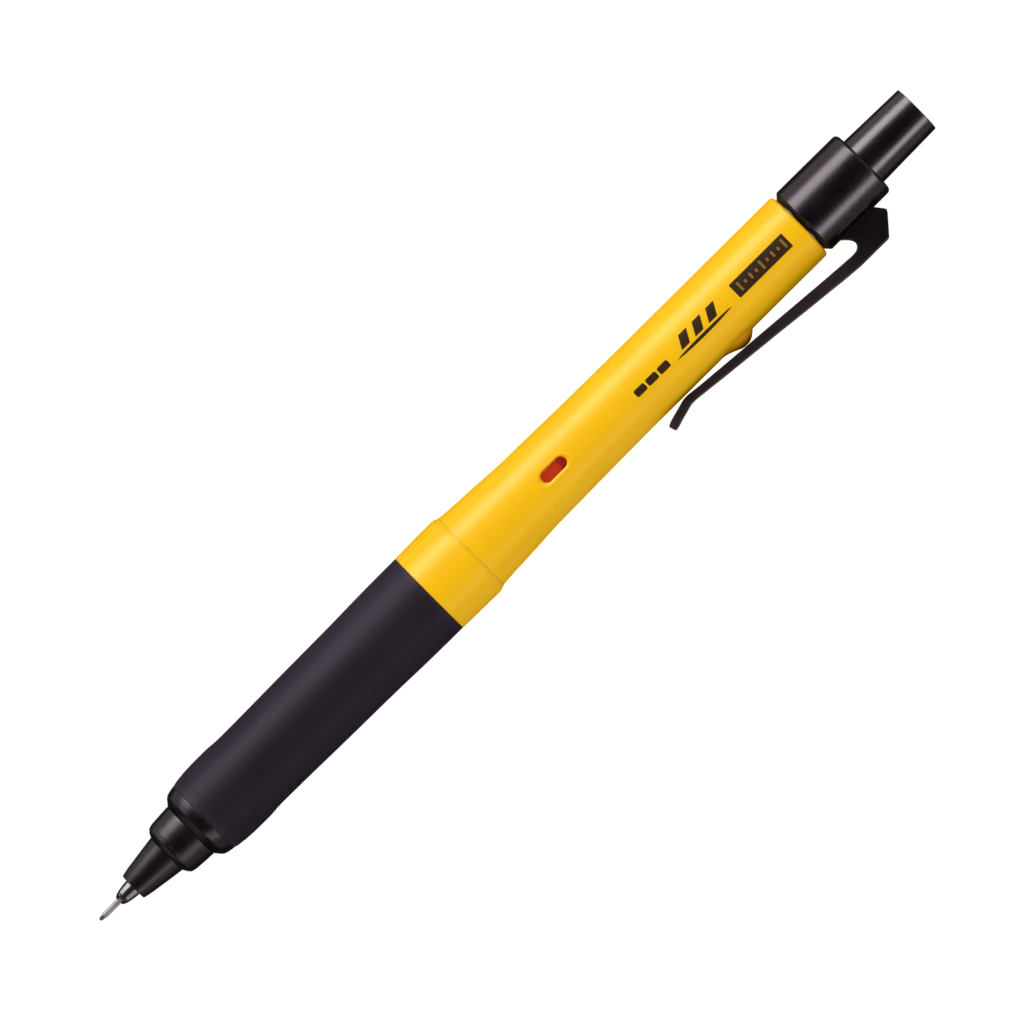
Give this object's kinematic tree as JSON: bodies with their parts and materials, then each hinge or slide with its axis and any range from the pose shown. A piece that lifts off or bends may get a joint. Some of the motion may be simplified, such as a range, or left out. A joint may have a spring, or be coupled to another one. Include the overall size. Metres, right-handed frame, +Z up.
{
  "type": "mechanical pencil",
  "caption": "Click-top mechanical pencil for 0.5 mm lead with a soft grip, a pocket clip, a toothed rotor that turns the lead, and a small window onto it.",
  "frame": {"origin": "centre of the bounding box in X and Y, at the lowest point of the widest ring in Z; the pencil's own axis runs along X at y = 1.485 mm, z = 6.18 mm", "axes": "+X from the writing tip to the push button, -Y towards the pocket clip, +Z up through the window in the barrel"},
  "size_m": [0.145, 0.0154, 0.0124],
  "materials": {
    "yellow_plastic": "satin moulded, warm yellow",
    "black_plastic": "gloss black moulded plastic",
    "gel": "soft charcoal gel, satin skin",
    "clip_plastic": "black moulded plastic, slightly worn edges",
    "clear_plastic": "clear polished plastic",
    "red_plastic": "red-orange moulded plastic",
    "natural_plastic": "natural white acetal",
    "grey_plastic": "grey moulded plastic",
    "magazine_plastic": "translucent white plastic",
    "brass": "machined brass",
    "steel": "turned and polished steel",
    "spring_steel": "drawn spring wire",
    "seal_rubber": "matt black rubber",
    "graphite": "fired graphite lead, faint sheen",
    "eraser_vinyl": "matt white vinyl eraser"
  },
  "bodies": {
    "barrel_unit": {"barrel": "yellow_plastic", "window_lens": "clear_plastic", "joint_ring": "yellow_plastic", "front_barrel": "grey_plastic", "gel_grip": "gel", "grip_front_ring": "black_plastic", "nose_cone": "black_plastic", "clip_collar": "black_plastic", "engine_case": "clear_plastic", "engine_end_cap": "natural_plastic", "lower_cam": "natural_plastic", "upper_cam": "natural_plastic", "cushion_spring": "spring_steel"},
    "clip_arm": {"clip": "clip_plastic"},
    "button_unit": {"lead_tube": "magazine_plastic", "spare_lead_1": "graphite", "spare_lead_2": "graphite", "spare_lead_3": "graphite"},
    "button_cap": {"push_cap": "black_plastic"},
    "eraser_stub": {"eraser": "eraser_vinyl"},
    "slip_washer": {"torque_washer": "brass"},
    "rotor_unit": {"rotor": "red_plastic", "drive_tube": "grey_plastic", "chuck_sleeve": "brass", "tip_slider": "steel", "lead_retainer": "seal_rubber", "chuck_spring": "spring_steel"},
    "chuck_unit": {"chuck": "brass", "relay_tube": "magazine_plastic"},
    "lead_unit": {"lead": "graphite", "clutch_ring": "steel"},
    "pipe_unit": {"guide_pipe": "steel"}
  },
  "joints": [
    {"name": "button_press", "type": "slide", "parent": "barrel_unit", "child": "button_unit", "axis": [-1, 0, 0], "range_m": [0, 0.004], "stiffness_N_per_m": 700, "springref_m": -0.003},
    {"name": "cap_pull", "type": "slide", "parent": "button_unit", "child": "button_cap", "axis": [1, 0, 0], "range_m": [0, 0.016]},
    {"name": "eraser_pull", "type": "slide", "parent": "button_unit", "child": "eraser_stub", "axis": [1, 0, 0], "range_m": [0, 0.0048]},
    {"name": "clip_flex", "type": "hinge", "parent": "barrel_unit", "child": "clip_arm", "pos_m": [0.0535, -0.00671, 0.00618], "axis": [0, 0, 1], "range_deg": [0, 6], "stiffness_Nm_per_rad": 0.2, "springref_deg": -3.44},
    {"name": "writing_stroke", "type": "slide", "parent": "barrel_unit", "child": "slip_washer", "axis": [1, 0, 0], "range_m": [0, 0.00025], "stiffness_N_per_m": 300, "springref_m": -0.002, "deforming": ["cushion_spring"]},
    {"name": "lead_turn", "type": "hinge", "parent": "slip_washer", "child": "rotor_unit", "pos_m": [0, 0.00148, 0.00618], "axis": [1, 0, 0], "continuous": true},
    {"name": "chuck_feed", "type": "slide", "parent": "rotor_unit", "child": "chuck_unit", "axis": [-1, 0, 0], "range_m": [0, 0.004], "deforming": ["chuck_spring"]},
    {"name": "lead_feed", "type": "slide", "parent": "rotor_unit", "child": "lead_unit", "axis": [-1, 0, 0], "range_m": [0, 0.0005]},
    {"name": "pipe_retract", "type": "slide", "parent": "rotor_unit", "child": "pipe_unit", "axis": [1, 0, 0], "range_m": [0, 0.0025]}
  ],
  "couplings": [
    {"joint": "eraser_pull", "follows": "cap_pull", "ratio": 0.3},
    {"joint": "chuck_feed", "follows": "button_press", "ratio": 1},
    {"joint": "lead_feed", "follows": "button_press", "ratio": 0.125}
  ]
}
